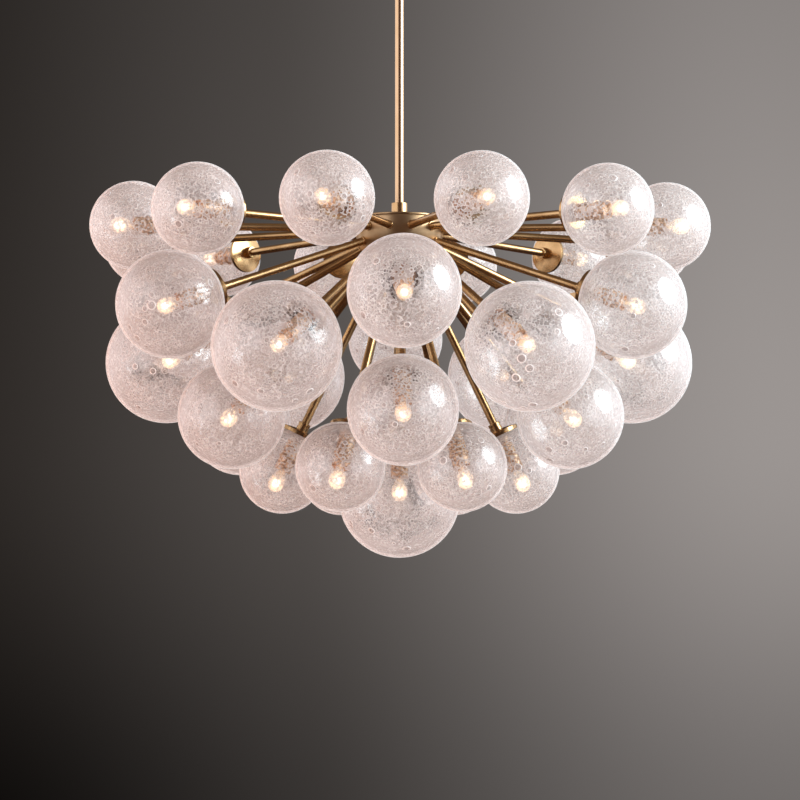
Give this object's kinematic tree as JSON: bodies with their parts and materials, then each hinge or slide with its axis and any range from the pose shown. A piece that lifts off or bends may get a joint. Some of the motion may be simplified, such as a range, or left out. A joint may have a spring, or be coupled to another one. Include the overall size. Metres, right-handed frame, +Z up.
{
  "type": "bubble chandelier",
  "caption": "Bubble chandelier: clear glass globes in three sizes on brass arms that fan out from one hub, hung on a rod from a swivel under a round canopy.",
  "frame": {"origin": "middle of the ceiling plate's top face, on the axis that the swivel turns about", "axes": "+Z up towards the ceiling, -Y the front, +X to the right seen from the front; the row of medium globes under the top row has one globe straight in front"},
  "size_m": [0.8862, 0.89, 0.9261],
  "materials": {
    "brass": "satin, brushed",
    "glass": "clear, with fine seeds",
    "steel": "zinc plated",
    "plastic": "moulded"
  },
  "bodies": {
    "ceiling_part": {"ceiling_plate": "steel", "swivel_bush": "brass", "canopy": "brass", "canopy_stud_left": "steel", "canopy_stud_right": "steel", "canopy_knob_left": "brass", "canopy_knob_right": "brass", "terminal_block": "plastic"},
    "yoke": {"swivel_yoke": "brass", "swivel_pin": "steel", "pin_nut": "steel"},
    "drop": {"rod_knuckle": "brass", "down_rod": "brass", "rod_collar": "brass", "hub_lid": "brass", "hub_stem": "brass", "hub_locknut": "steel", "arm_ring_top": "brass", "arm_ring_upper": "brass", "arm_ring_middle": "brass", "arm_ring_lower": "brass", "arm_ring_bottom": "brass", "arm_centre": "brass", "globe_top_01": "glass", "globe_top_02": "glass", "globe_top_03": "glass", "globe_top_04": "glass", "globe_top_05": "glass", "globe_top_06": "glass", "globe_top_07": "glass", "globe_top_08": "glass", "globe_top_09": "glass", "globe_top_10": "glass", "globe_top_11": "glass", "globe_top_12": "glass", "globe_upper_01": "glass", "globe_upper_02": "glass", "globe_upper_03": "glass", "globe_upper_04": "glass", "globe_upper_05": "glass", "globe_upper_06": "glass", "globe_middle_01": "glass", "globe_middle_02": "glass", "globe_middle_03": "glass", "globe_middle_04": "glass", "globe_middle_05": "glass", "globe_middle_06": "glass", "globe_lower_01": "glass", "globe_lower_02": "glass", "globe_lower_03": "glass", "globe_lower_04": "glass", "globe_lower_05": "glass", "globe_lower_06": "glass", "globe_bottom_01": "glass", "globe_bottom_02": "glass", "globe_bottom_03": "glass", "globe_bottom_04": "glass", "globe_bottom_05": "glass", "globe_bottom_06": "glass", "globe_centre": "glass"}
  },
  "joints": [
    {"name": "swivel_turn", "type": "hinge", "parent": "ceiling_part", "child": "yoke", "pos_m": [0, 0, 0], "axis": [0, 0, 1], "range_deg": [-170, 170]},
    {"name": "hang_tilt", "type": "hinge", "parent": "yoke", "child": "drop", "pos_m": [0, 0, -0.052], "axis": [0, 1, 0], "range_deg": [-30, 30]}
  ]
}
